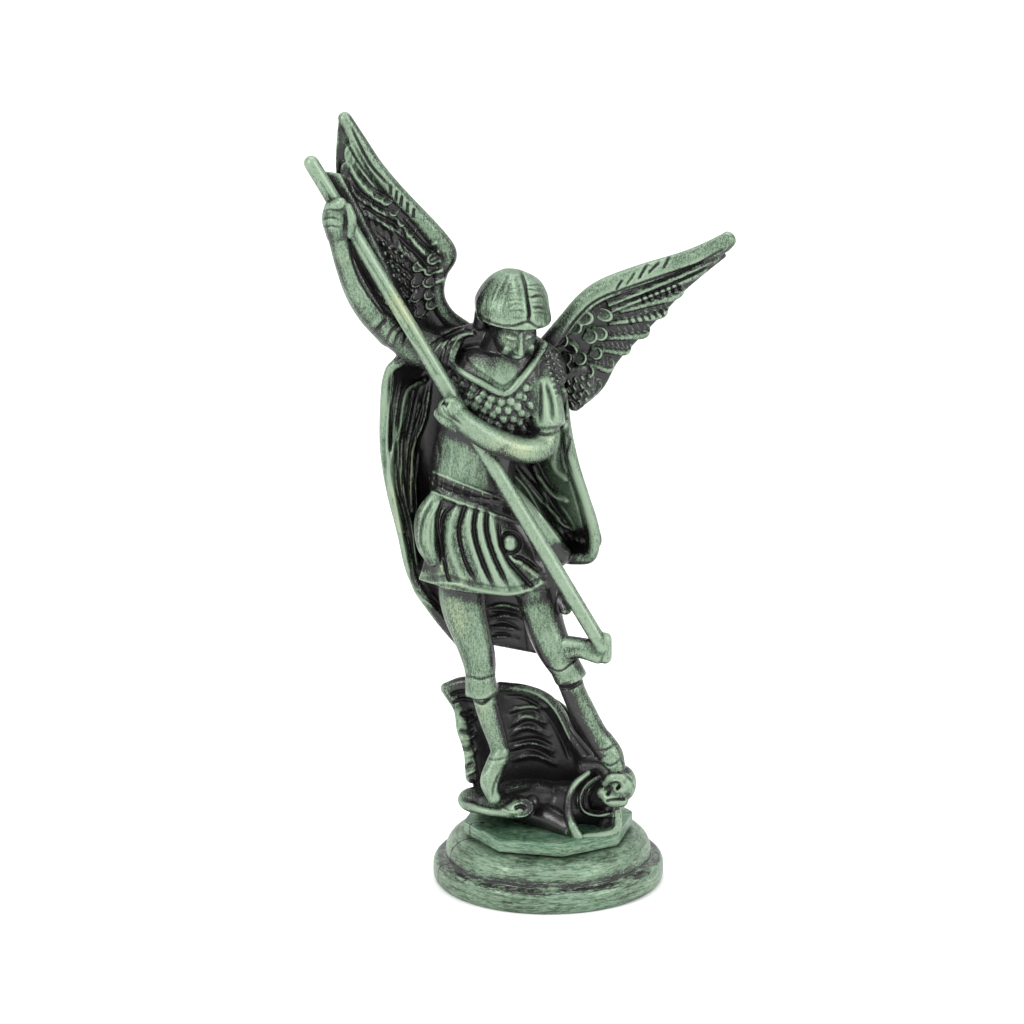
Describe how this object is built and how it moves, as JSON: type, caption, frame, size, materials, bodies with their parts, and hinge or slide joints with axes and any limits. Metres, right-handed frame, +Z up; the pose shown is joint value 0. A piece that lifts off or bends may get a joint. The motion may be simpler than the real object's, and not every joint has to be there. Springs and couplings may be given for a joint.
{
  "type": "archangel michael statue",
  "caption": "Small cast metal statuette of a winged archangel with a lance over a fallen demon, on an eight-sided plinth and a round foot.",
  "frame": {"origin": "centre of the round foot's underside", "axes": "+Z up; the figure faces -Y; its right side, with the raised arm, is at -X"},
  "size_m": [0.0479, 0.0258, 0.0899],
  "materials": {
    "figure_green": "green metallic dry-brushed over near-black gloss",
    "base_green": "green metallic brushed over near-black gloss"
  },
  "bodies": {
    "root": {"archangel_casting": "figure_green", "round_base": "base_green"}
  },
  "joints": []
}
